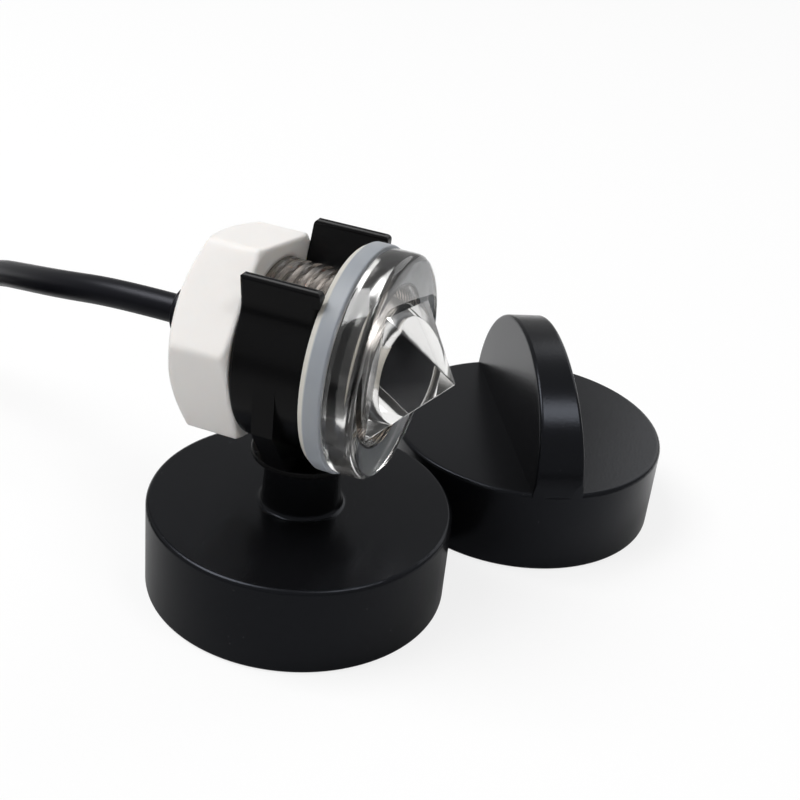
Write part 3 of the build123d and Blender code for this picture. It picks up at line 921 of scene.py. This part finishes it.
nodeFinishes = {
    "inner_casing": plastics["satinBlackAbs"],
    "inner_base_cover": plastics["satinBlackAbs"],
    "outer_casing": plastics["satinBlackAbs"],
    "outer_base_cover": plastics["satinBlackAbs"],
    "sensor_clip": plastics["smoothBlackNylon"],
    "inner_magnet": finishes["nickel"],
    "outer_magnet": finishes["nickel"],
    "clip_screw": finishes["steel"],
    "flange_gasket": finishes["silicone"],
    "hex_nut": plastics["whiteNylon"],
    "optics_holder": finishes["insert"],
    "infrared_emitter": finishes["lensBlue"],
    "light_receiver": finishes["lensDark"],
    "circuit_board": finishes["solderMask"],
    "output_transistor": finishes["chip"],
    "pull_up_resistor": finishes["chip"],
    "emitter_resistor": finishes["chip"],
    "core_wire_supply": finishes["coreRed"],
    "core_wire_ground": finishes["coreBlack"],
    "core_wire_signal": finishes["coreYellow"],
    "jacket_stub": plastics["softBlackPvc"],
    "cable_gland": plastics["softBlackPvc"],
    "plug_boot": plastics["softBlackPvc"],
    "plug_grip": plastics["softBlackPvc"],
    "jack_sleeve": finishes["jackMetal"],
    "jack_ring": finishes["jackMetal"],
    "jack_tip": finishes["jackMetal"],
    "jack_insulator_sleeve": finishes["insulator"],
    "jack_insulator_tip": finishes["insulator"],
}
for name, finish in nodeFinishes.items():
    nodes[name].material_slots[0].material = finish
signalCable.data.materials.append(plastics["softBlackPvc"])
clearBody.data.materials.append(finishes["clear"])
coilStrap.data.materials.append(finishes["strap"])
print("finishes made")


# floor, room and lamps, in metres
room = {
    "background": 1.0,
    "ambient": 0.26,
    "mirrored": 0.38,
    "pastObject": 0.97,  # how bright the clear plastic shows the far side of the room
    "nearSide": 0.45,  # and the near side
    "nearUntil": -0.8,  # share of a direction that points to the far side
    "farFrom": -0.1,
}
floorSetup = {
    "size": 3.0,
    "colour": (0.90, 0.90, 0.90),
    "tone": 0.99,
    "toneScale": 4.0,
    "toneDetail": 2.0,
    "roughness": 0.9,
    "specular": 0.1,
    "glow": 0.80,
    "nearShade": 0.55,  # how much darker the floor on the near side mirrors, close to the object
    "farShade": 0.92,  # and further out
    "farStart": 0.09,
    "farEnd": 0.15,
    "shadeStart": -0.02,
    "shadeEnd": 0.06,
}
lamps = [
    {"name": "key", "place": (-0.40, -0.15, 0.80), "size": 0.5, "power": 6.3},
    {"name": "high", "place": (0.37, -0.08, 0.83), "size": 0.25, "power": 1.5},
    {"name": "rear", "place": (0.25, 0.8, 0.55), "size": 0.7, "power": 1.8},
]
lampAim = (0, 0, 0.03)


def rayNode(tree):
    return tree.nodes.new("ShaderNodeLightPath").outputs


def onlyMirrored(tree, rays):
    # a ray that comes through clear plastic counts as a glossy one too, so it is taken out here
    return mathNode(tree, "SUBTRACT", rays["Is Glossy Ray"], rays["Is Transmission Ray"], True)


def makeWorld():
    world = bpy.data.worlds.new("room")
    bpy.context.scene.world = world
    world.use_nodes = True
    tree = world.node_tree
    light = tree.nodes["Background"]
    ambient = room["ambient"]
    rays = rayNode(tree)
    strength = mathNode(tree, "MULTIPLY", rays["Is Camera Ray"], room["background"] - ambient)
    strength = mathNode(tree, "ADD", strength, ambient)
    glossy = onlyMirrored(tree, rays)
    mirrored = mathNode(tree, "MULTIPLY", glossy, room["mirrored"] - ambient)
    strength = mathNode(tree, "ADD", strength, mirrored)
    # clear plastic shows a pale room beyond the object and a dimmer one on the near side
    direction = tree.nodes.new("ShaderNodeTexCoord").outputs["Generated"]
    side = rampNode(
        tree, axesOf(tree, direction)["Y"], room["nearUntil"], room["farFrom"],
        room["nearSide"] - ambient, room["pastObject"] - ambient,
    )
    through = mathNode(tree, "MULTIPLY", rays["Is Transmission Ray"], side)
    strength = mathNode(tree, "ADD", strength, through)
    light.inputs["Color"].default_value = (1, 1, 1, 1)
    tree.links.new(strength, light.inputs["Strength"])


def makeFloor():
    setup = floorSetup
    bpy.ops.mesh.primitive_plane_add(size=setup["size"], location=(0, 0, 0))
    floor = bpy.context.object
    floor.name = "floor"
    material, tree, shader, place = newMaterial("paleFloor")
    tone = noiseNode(tree, place, setup["toneScale"], setup["toneDetail"])
    other = tuple(setup["tone"] * channel for channel in setup["colour"])
    tree.links.new(mixColours(tree, tone, other, setup["colour"]), shader.inputs["Base Color"])
    shader.inputs["Roughness"].default_value = setup["roughness"]
    shader.inputs["Specular IOR Level"].default_value = setup["specular"]
    glow = tree.nodes.new("ShaderNodeEmission")
    rays = rayNode(tree)
    shown = mathNode(tree, "ADD", rays["Is Camera Ray"], rays["Is Transmission Ray"], True)
    tree.links.new(mathNode(tree, "MULTIPLY", shown, room["background"]), glow.inputs["Strength"])
    # the near side of the floor mirrors darker, and more so further out
    near = rampNode(tree, axesOf(tree, place)["Y"], setup["shadeEnd"], setup["shadeStart"])
    distance = tree.nodes.new("ShaderNodeVectorMath")
    distance.operation = "LENGTH"
    tree.links.new(place, distance.inputs[0])
    depth = rampNode(
        tree, distance.outputs["Value"], setup["farStart"], setup["farEnd"],
        setup["nearShade"], setup["farShade"],
    )
    shade = mathNode(tree, "MULTIPLY", near, depth)
    shade = mathNode(tree, "MULTIPLY", shade, onlyMirrored(tree, rays))
    glowing = mathNode(tree, "MULTIPLY", shown, setup["glow"])
    blend = tree.nodes.new("ShaderNodeMixShader")
    tree.links.new(mathNode(tree, "ADD", glowing, shade, True), blend.inputs["Fac"])
    tree.links.new(shader.outputs["BSDF"], blend.inputs[1])
    tree.links.new(glow.outputs["Emission"], blend.inputs[2])
    tree.links.new(blend.outputs["Shader"], tree.nodes["Material Output"].inputs["Surface"])
    floor.data.materials.append(material)


def makeLamp(lamp):
    data = bpy.data.lights.new(lamp["name"], "AREA")
    data.shape = "SQUARE"
    data.size = lamp["size"]
    data.energy = lamp["power"]
    item = bpy.data.objects.new(lamp["name"], data)
    bpy.context.scene.collection.objects.link(item)
    item.location = lamp["place"]
    aim = Vector(lampAim) - Vector(lamp["place"])
    item.rotation_euler = aim.to_track_quat("-Z", "Y").to_euler()


makeWorld()
makeFloor()
for lamp in lamps:
    makeLamp(lamp)
bpy.context.scene.view_settings.view_transform = "Standard"
print("room and lamps made")
